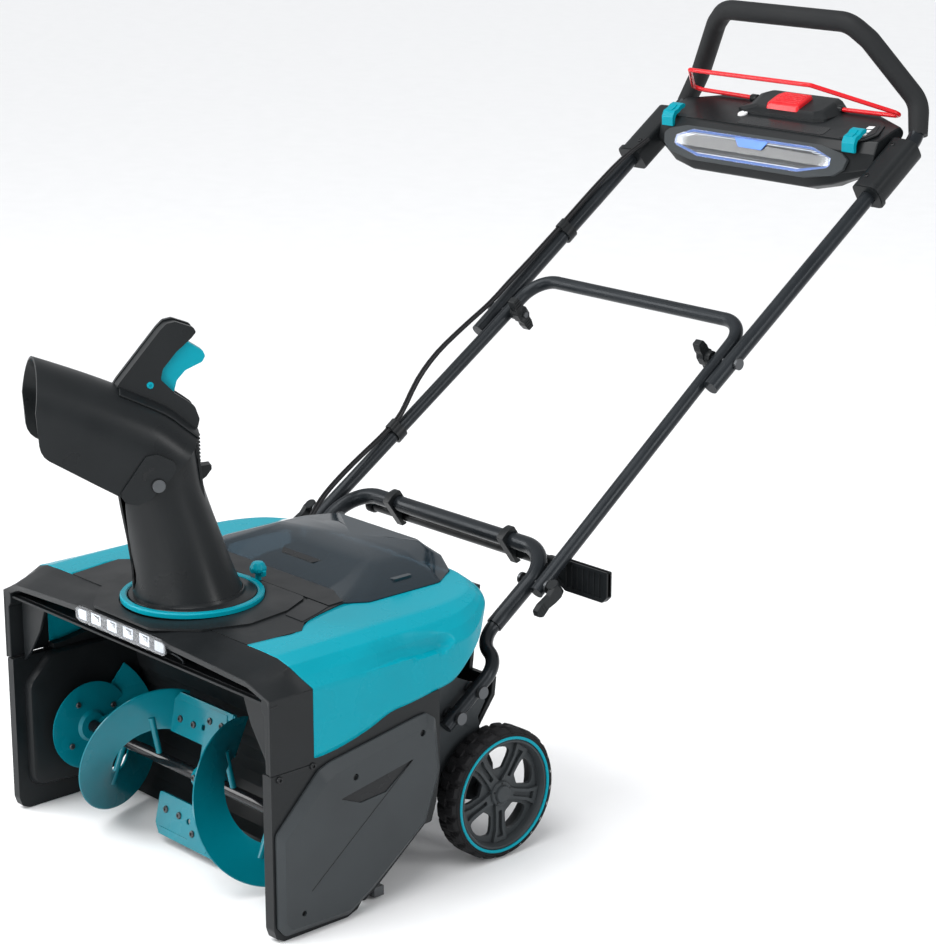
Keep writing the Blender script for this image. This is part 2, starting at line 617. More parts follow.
def side_plate(m, tag):
    place = plane("x")
    put = (lambda a, b, h: place(a, b, h * m))
    outer = fillet2(PLATE, PLATE_R, 5)
    if m > 0:
        inner = fillet2([(14, 24), (108, 18), (146, 36), (228, 98), (246, 150), (242, 214), (92, 196),
                         (14, 128)], 8)
        skin = slab("side_plate_skin_" + tag, [outer, disc(SHAFT_AT, 17.1, 32), disc(MOTOR_AT, 16, 32)], put,
                    264, 268, "chassis", BLACK, "black_plastic", bevel=0.6)
        slab("side_plate_rim_" + tag, [outer, inner], put, 268, 279.9, "chassis", BLACK, "black_plastic",
             bevel=1.4)
    else:
        skin = slab("side_plate_skin_" + tag, [outer, disc(SHAFT_AT, 17.1, 32)], put, 264.2, 277.0, "chassis",
                    BLACK, "black_plastic", bevel=1.4)
        panel = fillet2([(22, 24), (106, 18), (146, 36), (226, 96), (244, 150), (240, 218), (92, 198),
                         (22, 150)], 9)
        slab("side_plate_panel_" + tag, [panel, disc(SHAFT_AT, 24, 32)], put, 276, 279.9, "chassis", GREY,
             "grey_plastic", bevel=2.2)
        slab("side_plate_boss_" + tag, [disc(SHAFT_AT, 23, 36), disc(SHAFT_AT, 17.2, 36)], put, 270, 279.9,
             "chassis", BLACK, "black_plastic", bevel=1.0)
        for k, (y, z) in enumerate(((36, 34), (120, 184), (226, 212))):
            screw("panel_screw_%d" % k, (279.9 * m, y, z), (m, 0, 0), 5, "chassis", mat=BLACK_GLOSS,
                  slot="black_plastic")
    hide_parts("side_plate_" + tag)
    # inward pod round the bearing
    pod = [(16, 30), (150, 22), (196, 60), (196, 196), (170, 212), (52, 212), (16, 176)]
    wide, mid, top = fillet2(pod, 22, 6), None, None
    cx, cz = 104, 118
    shrink = lambda k: [(cx + (p[0] - cx) * k, cz + (p[1] - cz) * k) for p in wide]
    mid, top = shrink(0.965), shrink(0.90)
    if m < 0:
        rings = [[put(p[0], p[1], 264.5) for p in wide], [put(p[0], p[1], 260) for p in wide],
                 [put(p[0], p[1], 254) for p in mid], [put(p[0], p[1], 252.2) for p in top]]
        hole = disc(SHAFT_AT, 27, len(top))
        rings += [[put(p[0], p[1], 252.2) for p in align(top, SHAFT_AT, 27)],
                  [put(p[0], p[1], 262.6) for p in align(top, SHAFT_AT, 25)]]
        loft("bearing_pod_" + tag, rings, "chassis", BLACK, "black_plastic", caps=False, sharp=40)
    lathe("bearing_seal_" + tag, [(9, 0), (16, 0), (16, 5), (12.5, 5.5), (12, 9), (9, 9)],
          lambda a, b, h: Vector(((262.0 - h) * m, 98 + a, 104 + b)), "auger", SHAFT, "steel", caps=False,
          n=32)


def align(loop, c, r):
    """Points on a circle, one in the direction of each point of the loop."""
    out = []
    for p in loop:
        a = math.atan2(p[1] - c[1], p[0] - c[0])
        out.append((c[0] + r * math.cos(a), c[1] + r * math.sin(a)))
    return out


mirrored(side_plate)

X = plane("x")
RADII = [8, 10, 14, 8, 12, 12, 12, 10, 8, 8, 14, 14, 14]
lo, hi = fillet2(BELT, RADII, 6, even=True), fillet2(BELT_IN, RADII, 6, even=True)
mid = [(p[0] * 0.88 + q[0] * 0.12, p[1] * 0.88 + q[1] * 0.12) for p, q in zip(lo, hi)]
mid2 = [(p[0] * 0.10 + q[0] * 0.90, p[1] * 0.10 + q[1] * 0.90) for p, q in zip(lo, hi)]
rings = [[X(*p, 280.3) for p in lo], [X(*p, 283.2) for p in lo], [X(*p, 284.4) for p in mid],
         [X(*p, 289.4) for p in mid2], [X(*p, 290.0) for p in hi]]
rings.append([X(p[0] * 0.999 + 0.11, p[1] * 0.999 + 0.11, 290.0) for p in hi])
n = len(hi)
belt = loft("belt_cover_shell", rings, "chassis", GREY, "grey_plastic", caps=False, sharp=24)
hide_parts("belt_cover")
face_holes = [disc((120, 183), 4.2, 20), disc((226, 217 - 6), 4.2, 20), disc((38, 32), 3.6, 20)]
tri = fillet2([(96, 161), (213, 182), (167, 151), (127, 148)], 1.2, 3)
slab("belt_cover_face", [hi] + face_holes + [tri], X, 287.2, 290.0, "chassis", GREY, "grey_plastic",
     bevel=0.3)
slab("belt_cover_inset", [tri], X, 287.0, 288.6, "chassis", BLACK_GLOSS, "black_plastic", bevel=0.3)
for k, (y, z) in enumerate(((120, 183), (226, 211), (38, 32))):
    screw("cover_screw_%d" % k, (286.2, y, z), (1, 0, 0), 3.9, "chassis", mat=BLACK_GLOSS,
          slot="black_plastic",
          height=1.8)
tube("belt_cover_groove", [(290.0, 209, 180), (290.0, 160, 142.5), (290.0, 100, 96), (290.0, 50, 57)], 0.55,
     "chassis", BLACK_GLOSS, "black_plastic", n=8)
for k, (y, z) in enumerate(((211, 85), (182, 62))):
    slab("cover_clip_%d" % k, [fillet2([(y - 8, z - 2), (y + 1, z - 7), (y + 6, z + 1), (y - 3, z + 6)],
                                       1.5, 3)], X, 280,
         284.5, "chassis", BLACK, "black_plastic", bevel=0.8)

# ---------------------------------------------------------------- chute
CH = Matrix.Translation((0, 99.5, 0)) @ Matrix.Rotation(math.radians(-25), 4, "Z")


def ch(u, v, z):
    return CH @ Vector((u, v, z))


def ch_side(a, b, h):
    """Outline in the chute's (v, z) plane, raised along u."""
    return ch(h, a, b)


CHUTE_LINE = catmull([(346, -4, 70), (380, -11.5, 63.5), (426, -22, 58.3), (485, -38.0, 55.6),
                      (524, -43, 54.8), (546, -45, 54.6)], 12)
SLOT_HALF = [(358, 0), (362, 6), (372, 13), (384, 15), (396, 13), (408, 10.5), (430, 13), (480, 30),
             (510, 60), (546, 84)]


def chute_row(z):
    v = table_at(z, [(a, b) for a, b, _ in CHUTE_LINE])
    r = table_at(z, [(a, c) for a, _, c in CHUTE_LINE])
    h = math.radians(table_at(z, SLOT_HALF))
    out = []
    for k in range(65):
        a = h + (2 * math.pi - 2 * h) * k / 64
        out.append(ch(r * math.sin(a), v - r * math.cos(a),
                      z - max(0.0, z - 470) / 76 * 20 * (1 + math.cos(a)) / 2))
    return out


heights = [346, 349, 352, 355, 358, 360, 363, 367, 372, 378, 384, 390, 396, 402, 408, 418, 430, 442,
           455, 468, 480, 490, 500, 510, 518, 526, 534, 541, 546]
o = loft("chute_shell", [chute_row(z) for z in heights], "chute", CHUTE, "grey_plastic", closed=False,
         caps=False, solid=3.4, out=ch(0, -22, 450), bevel=0.7)
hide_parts("chute_tube")
lathe("chute_flange", [(66.8, 338), (70, 337), (70, 343.8), (79.6, 343.8), (79.8, 348.6), (78.5, 349.6),
                       (72, 350), (70, 351.4), (68.6, 355), (66.8, 355), (66.8, 338)],
      lambda a, b, h: ch(a, b - 4 * ramp01(h, 349, 351), h), "chute", CHUTE, "grey_plastic", n=96, caps=False,
      sharp=35)
rack = [(6, 556)]
for i in range(8):
    z = 553 - i * 4.6
    rack += [(13.6, z), (13.6, z - 2.2), (10.6, z - 2.6), (10.6, z - 4.2)]
rack += [(12.5, 515), (4, 512)]
slab("chute_rack", [rack], ch_side, -9, 9, "chute", BLACK_GLOSS, "black_plastic", bevel=0.35)
slab("rack_stop", [fillet2([(8, 512), (27, 513), (27, 507), (20, 498), (14, 494), (11, 496)], 1.5, 3)],
     ch_side, -8, 8, "chute", BLACK, "black_plastic", bevel=0.8)
for m in (-1, 1):
    slab("chute_rib_%d" % (m > 0), [[(9.5, 548), (12.8, 548), (24.5, 425), (40, 366), (37, 366),
                                     (20.5, 425)]],
         lambda a, b, h, s=m: ch(h + s * 24, a - 5.2, b), -1.2, 1.2, "chute", CHUTE, "grey_plastic",
         bevel=0.6)
o = lathe("chute_ring_band", [(81.2, 343.3), (89.8, 343.3), (90, 348.2), (88.6, 349.8), (83, 349.9),
                              (81.3, 348.6), (81.2, 343.3)],
          lambda a, b, h: Vector((a, 99.5 + b, h)), "chassis", TEAL, "teal_plastic", n=96, caps=False)
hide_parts("chute_ring")
knob = lambda a, b, h: Vector((9 + a, 196 + b, h))
o = lathe("chute_lock_knob", [(0.01, 344.5), (4, 344.5), (4, 356), (9.4, 356), (10.6, 357.5), (10.8, 361),
                              (9.6, 363), (8.6, 366.5), (6.4, 368.6), (3, 369.3), (0.01, 369.5)],
          knob, "chute_lock", TEAL, "teal_plastic", n=36, caps=False)
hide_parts("chute_lock")
for k in range(10):
    a = math.radians(36 * k)
    slab("lock_grip_%d" % k, [[(8.6, 357), (11, 357.6), (11, 362), (9.4, 364), (8.2, 364)]],
         lambda p, q, h, c=math.cos(a), s=math.sin(a): Vector((9 + p * c - h * s, 196 + p * s + h * c, q)),
         -1.1, 1.1, "chute_lock", TEAL, "teal_plastic", bevel=0.4)
for m in (-1, 1):
    slab("lock_wing_%d" % (m > 0), [fillet2([(m * 8, 351), (m * 13, 352), (m * 14, 359), (m * 8, 360)], 1.5,
                                            3)],
         lambda a, b, h: Vector((9 + a, 196 + h, b)), -2.4, 2.4, "chute_lock", TEAL, "teal_plastic",
         bevel=0.7)

# ---------------------------------------------------------------- deflector
HOOD_LINE = catmull([(-186, 600, 82, 58, 56), (-140, 577, 74, 60, 60), (-100, 556, 66, 61.5, 63),
                     (-61, 535, 58.5, 62, 65), (-40, 528, 52, 62, 56), (-22, 524, 45, 61, 47)], 10)
HOOD_FOOT = [(-186, (-184, 566)), (-184.5, (-183.6, 560)), (-182, (-182, 553)), (-178, (-178.5, 546.5)),
             (-172, (-173, 541.5)), (-165, (-167, 538)), (-140, (-153.5, 530)), (-100, (-120.4, 510.2)),
             (-61, (-88, 491)), (-48, (-74, 487)), (-40, (-62, 494)), (-30, (-43, 510)), (-22, (-24, 522))]
HOOD_AT = [-186, -185.4, -184.5, -183.4, -182, -180, -178, -175, -172, -168.5, -165, -158] + \
    [-150 + 10 * i for i in range(12)] + [-35, -30, -26, -22]


def hood_at(c):
    v, z, rot, w, h = [table_at(c, [(s[0], s[k]) for s in HOOD_LINE]) for k in range(5)]
    return v * 1.033, z - 0.0366 * (v + 22), rot, w, h


def hood_row(c, grow=0.0, t0=0.0, sides=True):
    v, z, rot, w, h = hood_at(c)
    up = (math.cos(math.radians(rot)), math.sin(math.radians(rot)))
    fv, fz = [table_at(c, [(a, q[k]) for a, q in HOOD_FOOT]) for k in (0, 1)]
    fv, fz = fv * 1.033, fz - 0.0366 * (fv + 22)
    pts = []
    if sides:
        pts += [((w + grow), fv + (v - fv) * i / 8, fz + (z - fz) * i / 8) for i in range(8)]
    arc = []
    for k in range(41):
        t = math.radians(t0 + (180 - 2 * t0) * k / 40)
        y2 = (h + grow) * math.sin(t) ** 0.94 if k not in (0, 40) or t0 else 0.0
        arc.append(((w + grow) * math.cos(t), v + up[0] * y2, z + up[1] * y2))
    pts = pts + arc
    if sides:
        pts += [(-(w + grow), v + (fv - v) * i / 8, z + (fz - z) * i / 8) for i in range(1, 9)]
    return [ch(*p) for p in pts]


o = loft("deflector_shell", [hood_row(c) for c in HOOD_AT], "deflector", CHUTE, "grey_plastic", closed=False,
         caps=False, solid=3.2, out=ch(0, -80, 540), bevel=0.8)
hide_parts("deflector")
o = loft("deflector_saddle", [hood_row(c, 2.6, 61, False) for c in (-106, -104, -100, -90, -80, -70, -61, -52,
                                                                  -44, -36, -30, -26, -22)],
         "deflector", CHUTE, "grey_plastic", closed=False, caps=False, solid=3.0, out=ch(0, -80, 540),
         bevel=1.2)
BOSS = fillet2([(-97, 500), (-64, 545), (-50, 547), (-30, 536), (-27, 527), (-36, 513), (-60, 491),
                (-76, 485),
                (-90, 489)], [9, 8, 8, 6, 6, 6, 8, 8, 6], 5)
for m in (-1, 1):
    out = lambda a, b, h, s=m: ch(h * s, a, b)
    slab("deflector_boss_%d" % (m > 0), [BOSS, disc((-50, 508), 8.6, 28)], out, 59.5, 65.0, "deflector",
         CHUTE,
         "grey_plastic", bevel=1.3)
    slab("boss_floor_%d" % (m > 0), [disc((-50, 508), 8.6, 28), disc((-50, 508), 4.4, 28)], out, 59.5, 62.4,
         "deflector", BLACK_GLOSS, "black_plastic", bevel=0.2)
    slab("boss_key_%d" % (m > 0), [[(-68, 525), (-54, 531.5), (-52, 528), (-62, 523.4), (-65.5, 514),
                                    (-69, 515)]],
         out, 64.2, 65.35, "deflector", BLACK_GLOSS, "black_plastic", bevel=0.25)
GRIP_OUT = [(-90, 617), (-84, 626), (-33, 687), (-25, 694.5), (-14, 696.5), (8, 688), (11, 682), (5, 675),
            (-14, 659), (-31, 639), (-34, 626), (-17, 608), (-3, 598), (7, 590), (12.5, 574), (9, 559),
            (-7, 571), (-30, 588), (-76, 611)]
GRIP_R = [2, 4, 8, 6, 6, 5, 3, 4, 10, 8, 6, 8, 8, 6, 6, 4, 4, 6, 4]
for m in (-1, 1):
    o = slab("handle_cheek_%d" % (m > 0), [fillet2(GRIP_OUT, GRIP_R, 5)], lambda a, b, h,
             s=m: ch(h * s, a, b),
             8.1, 15, "deflector", CHUTE, "grey_plastic", bevel=2.4, seg=4)
    screw("handle_pin_%d" % (m > 0), ch(14.8 * m, -47, 620), CH.to_3x3() @ Vector((m, 0, 0)), 4.4,
          "deflector",
          mat=TEAL, slot="teal_plastic", height=2.2)
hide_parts("deflector_handle")
WEB = [(-89, 618), (-83.5, 625), (-33, 685.5), (-25, 692.5), (-14, 694.5), (7, 686.5), (9, 682), (-20, 675),
       (-54, 641), (-48, 622), (-20, 603.5), (-4, 596), (5.5, 589), (10.8, 574), (8, 560), (-7, 571),
       (-30, 588),
       (-76, 611)]
slab("handle_web", [fillet2(WEB, [2, 4, 8, 6, 6, 4, 2, 3, 4, 4, 4, 6, 6, 6, 3, 4, 6, 3], 4)], ch_side, -8.2,
     8.2,
     "deflector", CHUTE, "grey_plastic", bevel=0.8)
TRIG = [(1, 670), (20, 657), (23, 650), (19, 643), (-2, 634), (-13, 622), (-17, 607), (-30, 617), (-35, 630),
        (-29, 646), (-13, 663)]
o = slab("chute_trigger_lever", [fillet2(TRIG, [3, 5, 4, 5, 10, 8, 2, 4, 4, 5, 4], 5)], ch_side, -7.4, 7.4,
         "chute_trigger", TEAL, "teal_plastic", bevel=1.9, seg=4)
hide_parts("chute_trigger")

# ---------------------------------------------------------------- wheels
WHEEL = (372, 86)


def wheel(m, tag):
    at = lambda a, b, h: Vector(((242 + h) * m, WHEEL[0] + a, WHEEL[1] + b))
    body = "wheel_" + tag
    prof = [(72.3, 0.8), (74, 0), (80, 0.4), (83.4, 2.2), (85.6, 5), (86, 8), (86, 18.6), (86, 19.4),
            (86, 30),
            (85.6, 33), (83.4, 35.8), (80, 37.6), (74, 38), (72.3, 37.2)]
    n = 216
    rings = []
    for k in range(n):
        a = 2 * math.pi * k / n
        ring = []
        for i, (r, h) in enumerate(prof):
            if r > 83:
                slot = (k + (0 if i < 7 else 4) + (abs(h - 19) * 0.16)) % 9
                r = r - 3.0 if slot < 2.6 else r
            ring.append(at(r * math.cos(a), r * math.sin(a), h))
        rings.append(ring)
    nr, nc = n, len(prof)
    faces = grid_faces(nr, nc, wrap_r=True)
    o = make("tyre_tread_" + tag, [p for r in rings for p in r], faces, body, RUBBER, "tyre_rubber", sharp=24)
    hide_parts("tyre_" + tag)
    for r in (78.5, 81.5):
        lathe("tyre_bead_%s_%d" % (tag, r), [(r - 0.5, 37.4), (r, 38.3), (r + 0.5, 37.2)], at, body, RUBBER,
              "tyre_rubber", n=72, caps=False)
    lathe("wheel_trim_" + tag, [(72.6, 37), (73, 38.6), (74, 39.1), (76, 39.1), (76.6, 38.4), (76.6, 37.6)],
          at,
          body, TEAL, "teal_plastic", n=96, caps=False)
    o = lathe("wheel_barrel_" + tag, [(72.2, 0.8), (72.2, 37), (70.8, 38), (69, 37.6), (67.2, 34), (66.5, 30),
                                      (66.5, 4), (68, 1), (70, 0.4), (72.2, 0.8)], at, body, GREY,
              "grey_plastic", n=96, caps=False, sharp=30)
    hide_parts("wheel_" + tag)
    holes = []
    for k in range(5):
        c = math.radians(36 + 72 * k)
        pol = lambda r, d: (r * math.sin(c + math.radians(d)), -r * math.cos(c + math.radians(d)))
        quad = [pol(32, -14), pol(32, 14), pol(46, 20), pol(57, 21), pol(60, 10), pol(61, 0), pol(60, -10),
                pol(57, -21), pol(46, -20)]
        holes.append(fillet2(quad, [5, 5, 12, 7, 16, 16, 16, 7, 12], 4))
    slab("wheel_disc_" + tag, [disc((0, 0), 67.2, 96)] + holes, at, 20, 25, body, GREY, "grey_plastic",
         bevel=1.3)
    for k in range(5):
        c = math.radians(72 * k)
        pol = lambda r, w: (r * math.sin(c) + w * math.cos(c), -r * math.cos(c) + w * math.sin(c))
        rib = [pol(12, -8.5), pol(30, -7), pol(50, -7.5), pol(66, -12), pol(66, 12), pol(50, 7.5), pol(30, 7),
               pol(12, 8.5)]
        inner = [pol(24, -3), pol(50, -3.4), pol(60, -5.5), pol(60, 5.5), pol(50, 3.4), pol(24, 3)]
        slab("wheel_spoke_%s_%d" % (tag, k), [rib, fillet2(inner, 1.5, 3)], at, 24, 29.5, body, GREY,
             "grey_plastic", bevel=1.1)
    lathe("wheel_hub_" + tag, [(8.4, 0), (16.5, 0), (16.5, 31), (15.4, 32.6), (12, 33), (11.4, 36),
                               (10.4, 37),
                               (0.01, 37.3)], at, body, GREY, "grey_plastic", n=48, caps=False, sharp=30)
    for k in range(5):
        c = math.radians(72 * k + 36)
        screw("hub_rivet_%s_%d" % (tag, k), at(13.6 * math.sin(c), -13.6 * math.cos(c), 32.4), (m, 0, 0), 1.5,
              body, mat=BLACK_GLOSS, slot="black_plastic", height=0.9)


mirrored(wheel)

# ---------------------------------------------------------------- auger
AU = Matrix.Translation((0, 98, 104)) @ Matrix.Rotation(math.radians(-13), 4, "X")


def au(x, y, z):
    return AU @ Vector((x, y, z))


def flight(m, tag):
    rings = []
    for k in range(-6, 97):
        f = math.radians(10 + 320 * k / 96)
        x = 70 + 175 * k / 96
        d = (-math.sin(f), math.cos(f))
        # the plate is a little dished and its outer edge is rolled
        sec = [(42, -1.9), (46, -1.2), (88, 0.6), (94, 1.0), (95, 2.2), (94, 3.4), (88, 2.9), (46, 1.6),
               (42, 1.9)]
        rings.append([au((x + h) * m, r * d[0], r * d[1]) for r, h in sec])
    o = loft("auger_ribbon_" + tag, rings, "auger", TEAL_PAINT, "teal_paint", sharp=40)
    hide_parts("auger_flights")
    # bars from the shaft to the ribbon, and the dished end disc
    for k, f in enumerate((25, 170, 300)):
        a = math.radians(f)
        x = (70 + 175 * (f - 10) / 320) * m
        d = Vector((0, -math.sin(a), math.cos(a)))
        tube("auger_arm_%s_%d" % (tag, k), [au(x, *(d.yz * 8)), au(x, *(d.yz * 30)), au(x, *(d.yz * 60))],
             4.2,
             "auger", TEAL_PAINT, "teal_paint", n=14)
    lathe("auger_dish_" + tag, [(8.2, -4), (18, -4), (22, 1.2), (56, 2.2), (59.2, 3.2), (60, 2.2), (60, 0),
                                (56, -1),
                                (22, -2), (18, -7), (8.2, -7), (8.2, -4)],
          lambda a, b, h: au((235 + h * 0.7) * m, a, b), "auger", TEAL_PAINT, "teal_paint", n=60, caps=False,
          sharp=40)
    for k in range(4):
        a = math.radians(45 + 90 * k)
        screw("dish_bolt_%s_%d" % (tag, k), au(231.5 * m, 40 * math.cos(a), 40 * math.sin(a)), (-m, 0, 0),
              4.2,
              "auger", mat=STEEL_DARK, height=2.4)


mirrored(flight)
for m in (-1, 1):
    z0, z1 = sorted((40 * m, 94 * m))
    e = 94 * m
    outline = [(-66, 40 * m), (66, 40 * m), (66, 82 * m), (56, e), (-56, e), (-66, 82 * m)]
    o = slab("paddle_board_%d" % (m > 0), [fillet2(outline, 4, 4), disc((0, 62 * m), 4, 20)],
             lambda a, b, h: au(a, h, b), -2, 1.8, "auger", TEAL_PAINT, "teal_paint", bevel=0.7)
    slab("paddle_lip_%d" % (m > 0), [[(-3.2, e - 10 * m), (2.6, e - 10 * m), (2.6, e), (-3.2, e)]],
         lambda a, b, h: au(h, a, b), -56, 56, "auger", TEAL_PAINT, "teal_paint", bevel=0.9)
    for x in (-48, -20, 48):
        screw("paddle_bolt_%d_%d" % (m > 0, x), au(x, -2, 60 * m), AU.to_3x3() @ Vector((0, -1, 0)), 4.6,
              "auger",
              mat=STEEL_DARK, height=2.6)
    for x in (14, 38):
        screw("strap_bolt_%d_%d" % (m > 0, x), au(x, -4, 74 * m), AU.to_3x3() @ Vector((0, -1, 0)), 4.6,
              "auger",
              mat=STEEL_DARK, height=2.6)
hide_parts("auger_paddles")
STRAP = [(6, -90), (46, -90), (46, -22), (42, -16), (42, 16), (46, 22), (46, 90), (6, 90), (6, 22), (10, 16),
         (10, -16), (6, -22)]
slab("paddle_strap", [fillet2(STRAP, 3, 4)], lambda a, b, h: au(a, h, b), -4.2, -0.4, "auger", TEAL_PAINT,
     "teal_paint", bevel=0.8)
lathe("paddle_hub", [(8.3, 6), (14, 6), (15, 8), (15, 44), (14, 46), (8.3, 46), (8.3, 6)],
      lambda a, b, h: au(h, a, b), "auger", TEAL_PAINT, "teal_paint", n=40, caps=False, sharp=35)
for x in (13, 39):
    screw("hub_bolt_%d" % x, au(x, -14.4, 0), AU.to_3x3() @ Vector((0, -1, 0)), 4.4, "auger", mat=STEEL_DARK,
          height=3)

# ---------------------------------------------------------------- control housing
HF = Matrix.Translation((0, 740, 500)) @ Matrix.Rotation(math.radians(35), 4, "X")


def hf(x, s, n):
    return HF @ Vector((x, s, n))


BOX_MID = [(1108, 770), (1121, 814), (1130, 824), (1180, 838), (1226, 851), (1236, 842), (1190, 778),
           (1140, 748), (1114, 754)]
BOX_SIDE = [(1113, 776), (1122.5, 812), (1132, 824), (1181, 838), (1222, 850), (1232, 838), (1182, 775),
            (1145, 757), (1118, 762)]
BOX_END = [(1138, 787), (1142, 808), (1150, 826), (1178, 836), (1200, 842), (1210, 834), (1185, 800),
           (1160, 785), (1144, 780)]
BOX_R = [5, 7, 6, 30, 5, 7, 12, 10, 6]
rings = []
for x, sec, k in ((-206, BOX_END, 0.94), (-204, BOX_END, 1), (-150, BOX_SIDE, 1), (-111, BOX_MID, 1),
                  (111, BOX_MID, 1), (150, BOX_SIDE, 1), (204, BOX_END, 1), (206, BOX_END, 0.94)):
    cy = sum(p[0] for p in sec) / 9
    cz = sum(p[1] for p in sec) / 9
    rings.append([(x, cy + (p[0] - cy) * k, cz + (p[1] - cz) * k) for p in fillet2(sec, BOX_R, 4, even=True)])
o = loft("control_shell", rings, "upper_handle", BLACK, "black_plastic", sharp=30, bevel=0.6)
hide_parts("control_base")


def face(a, b, h):
    """On the sloping front face: across, up the face, out of it."""
    back = max(0.0, abs(a) - 111) / 39 * 4.6
    return Vector((a, 1108 + 0.283 * b - 0.959 * h + back, 770 + 0.959 * b + 0.283 * h))


def top(a, b, h):
    """On the sloping top: across, back along it, up from it."""
    return Vector((a, 1130 + 0.9636 * b - 0.267 * h, 824 + 0.267 * b + 0.9636 * h))


def octagon(g):
    return [(-96 + g * 0.5, 4 + g), (96 - g * 0.5, 4 + g), (146 - g, 15 + g * 0.6), (150 - g, 19),
            (150 - g, 30),
            (116 - g * 0.4, 43 - g), (-116 + g * 0.4, 43 - g), (-150 + g, 30), (-150 + g, 19),
            (-146 + g, 15 + g * 0.6)]


bezel = [(-110, -2), (110, -2), (158, 6), (172, 16), (176, 30), (166, 38), (128, 47), (-128, 47), (-166, 38),
         (-176, 30), (-172, 16), (-158, 6)]
slab("lamp_bezel", [fillet2(bezel, 4, 3), octagon(0)], face, -1.0, 4.2, "upper_handle", GREY,
     "grey_plastic", bevel=0.7)
slab("lamp_reflector", [octagon(0.5)], face, 0.4, 1.2, "upper_handle", LAMP, "white_plastic", bevel=0.2)
for i in range(15):
    t = 8.5 + i * 2.3
    half = 146 - max(0, t - 28) * 2.4 - max(0, 15 - t) * 3.6
    slab("lamp_rib_%02d" % i, [[(-half, t), (half, t), (half, t + 0.9), (-half, t + 0.9)]], face, 1.0, 2.2,
         "upper_handle", LAMP, "white_plastic", bevel=0.2)
slab("lamp_rim", [octagon(0.4), octagon(4.2)], face, 1.4, 2.8, "upper_handle", BLUE, "clear_lens", bevel=0.3)
slab("lamp_notch", [[(-34, 42), (-22, 27), (22, 27), (34, 42)]], face, 1.6, 3.0, "upper_handle", BLUE,
     "clear_lens", bevel=0.3)
o = slab("lamp_lens_cover", [octagon(0.2)], face, 3.2, 4.6, "upper_handle", CLEAR, "clear_lens", bevel=0.8)
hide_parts("lamp_lens")
panel = [(-190, 14), (-176, 3), (176, 3), (190, 14), (196, 34), (184, 64), (150, 92), (-150, 92), (-184, 64),
         (-196, 34)]
o = slab("control_panel", [fillet2(panel, 6, 4), disc((-62, 37.4), 8.2, 28),
                           [(-34, 46), (38, 46), (38, 89), (-34, 89)]], top, -1.0, 1.0, "upper_handle",
         BLACK, "black_plastic", bevel=0.6)
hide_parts("control_top")
slab("control_label_field", [fillet2([(-46, 6), (112, 6), (116, 10), (112, 32), (-40, 32), (-50, 22)], 3, 3)],
     top, 0.8, 1.5, "upper_handle", BLACK_GLOSS, "black_plastic", bevel=0.3)
slab("control_seam", [fillet2([(146, 4), (186, 16), (190, 34), (178, 60), (160, 74), (150, 40)], 4, 3)],
     top, 0.8, 1.7,
     "upper_handle", BLACK, "black_plastic", bevel=0.6)
for i in range(3):
    b = 18 + i * 13
    x = 176 - i * 3.2
    slab("charge_bar_%d" % i, [fillet2([(x - 4, b), (x + 6, b + 2), (x + 4.5, b + 11), (x - 5, b + 9)], 0.8,
                                       3)], top,
         1.5, 2.2, "upper_handle", WHITE, "white_plastic", bevel=0.2)
lean = lambda y, z: min(z + (y - 1206) * 0.42, z + 5)
hump = [(-84, 1180), (-64, 1170), (70, 1170), (86, 1178), (90, 1210), (84, 1234), (-78, 1234), (-86, 1214)]
cap = [(-52, 1183), (-44, 1181), (60, 1181), (70, 1186), (72, 1210), (68, 1230), (-56, 1230), (-60, 1212)]
low, high = fillet2(hump, 6, 4, even=True), fillet2(cap, 6, 4, even=True)
mid = [(p[0] * 0.35 + q[0] * 0.65, p[1] * 0.35 + q[1] * 0.65) for p, q in zip(low, high)]
loft("lock_housing", [[(p[0], p[1], 834) for p in low], [(p[0], p[1],
                                                          841 + (p[1] - 1170) * 0.12) for p in low],
                      [(p[0], p[1], lean(p[1], 857)) for p in mid],
                      [(p[0], p[1], lean(p[1], 860)) for p in high]],
     "upper_handle", BLACK, "black_plastic", bevel=1.4)
rings = []
for z, g in ((845, 0), (858, 0), (864.5, 1.2), (866.4, 3.4)):
    rings.append([(a, b, z if z < 850 else lean(b, z)) for a, b in
                  fillet2([(-29 + g, 1178 + g), (33 - g, 1178 + g), (33 - g, 1213.6 - g),
                           (-21 + g, 1213.6 - g),
                           (-29 + g, 1202)], 4, 4, even=True)])
o = loft("lock_button_cap", rings, "lock_button", RED, "red_plastic", bevel=0.6)
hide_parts("lock_button")
for i in range(6):
    y = 1183 + i * 4.4
    slab("lock_button_rib_%d" % i, [[(-18, y), (27, y), (27, y + 1.7), (-18, y + 1.7)]],
         lambda a, b, h: Vector((a, b, lean(b, h))), 865.4, 867.4, "lock_button", RED, "red_plastic",
         bevel=0.4)
o = lathe("power_button_cap", [(7.4, 828), (7.4, 836.6), (6.6, 837.4), (4.4, 837.5), (4.1, 837.0),
                               (0.01, 836.9)],
          lambda a, b, h: Vector((-62 + a, 1166 + b, h + b * 0.27 * (h > 830))), "power_button", WHITE,
          "white_plastic", n=36, caps=False)
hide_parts("power_button")


